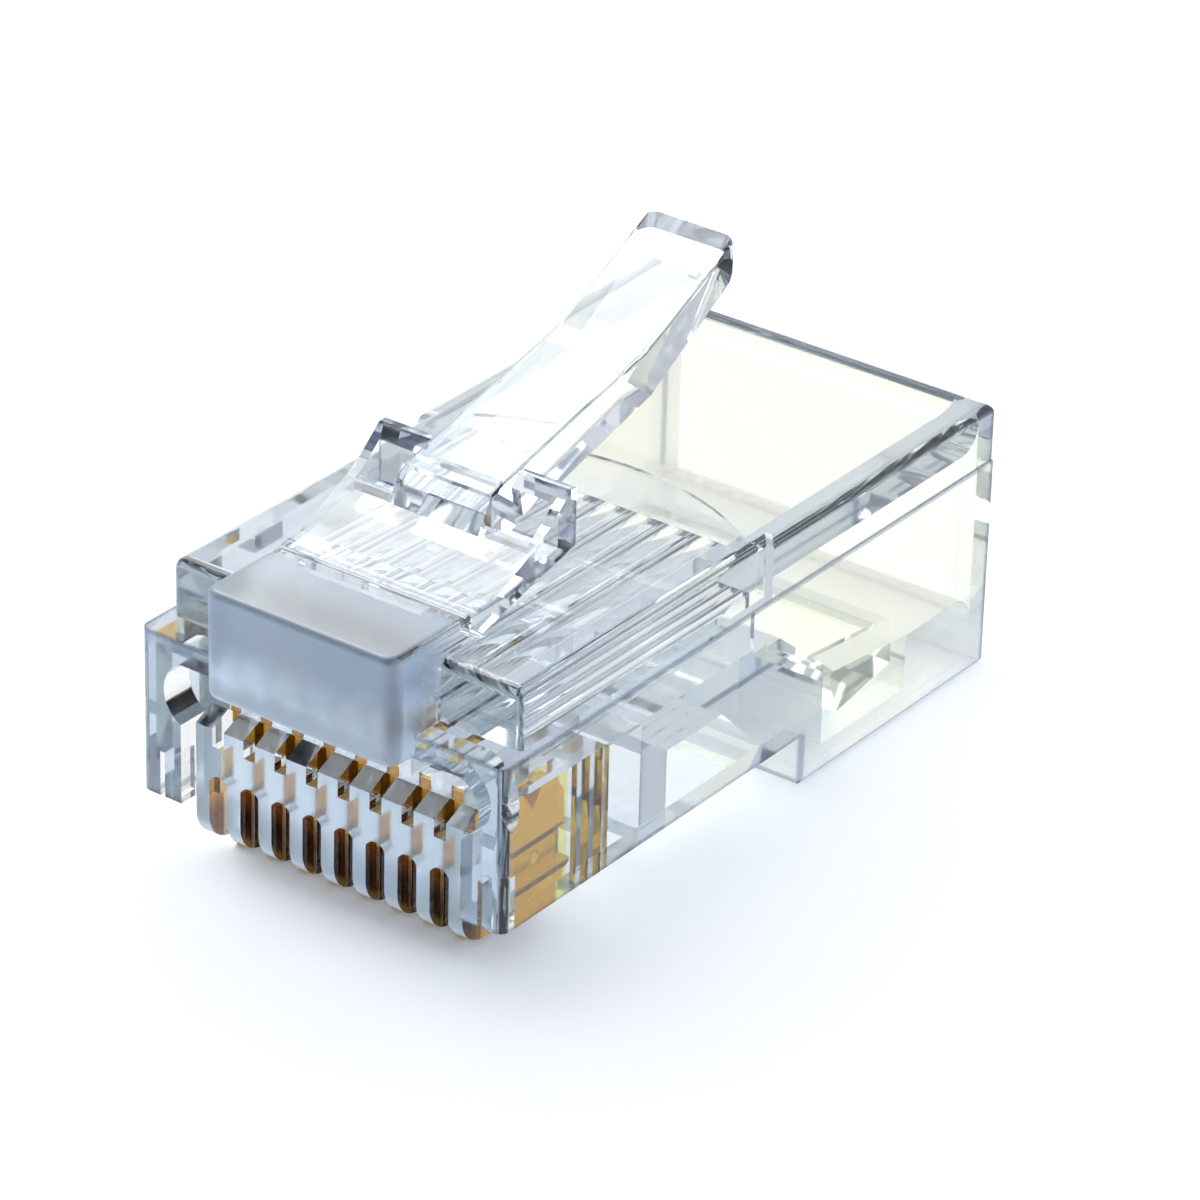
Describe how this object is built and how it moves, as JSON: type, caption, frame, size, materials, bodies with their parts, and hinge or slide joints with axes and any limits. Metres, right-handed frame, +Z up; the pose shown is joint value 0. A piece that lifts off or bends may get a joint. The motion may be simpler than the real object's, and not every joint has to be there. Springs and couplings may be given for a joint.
{
  "type": "modular plug",
  "caption": "Clear modular plug for twisted-pair cable: hollow moulding with a row of gold blade contacts and a sprung latch lever on top.",
  "frame": {"origin": "bottom centre of the whole plug's box: midway across, midway between the nose block's front and the rear face, on the plane that the rear underside and the contacts' lower edges share", "axes": "-Y is the direction in which the plug enters its jack, +Y is towards the cable entry, +Z is up on the latch's side, +X is across the row of contacts"},
  "size_m": [0.0116, 0.0224, 0.0137],
  "materials": {
    "clear_plastic": "clear polycarbonate, polished, with a frosted front",
    "latch_plastic": "clear polycarbonate, polished",
    "gold_contact": "gold plated over nickel, bright"
  },
  "bodies": {
    "plug_body": {"housing": "clear_plastic", "contact_1": "gold_contact", "contact_2": "gold_contact", "contact_3": "gold_contact", "contact_4": "gold_contact", "contact_5": "gold_contact", "contact_6": "gold_contact", "contact_7": "gold_contact", "contact_8": "gold_contact"},
    "latch_arm": {"latch": "latch_plastic"}
  },
  "joints": [
    {"name": "latch_press", "type": "hinge", "parent": "plug_body", "child": "latch_arm", "pos_m": [0, -0.0078, 0.00828], "axis": [-1, 0, 0], "range_deg": [0, 13], "stiffness_Nm_per_rad": 0.02}
  ]
}
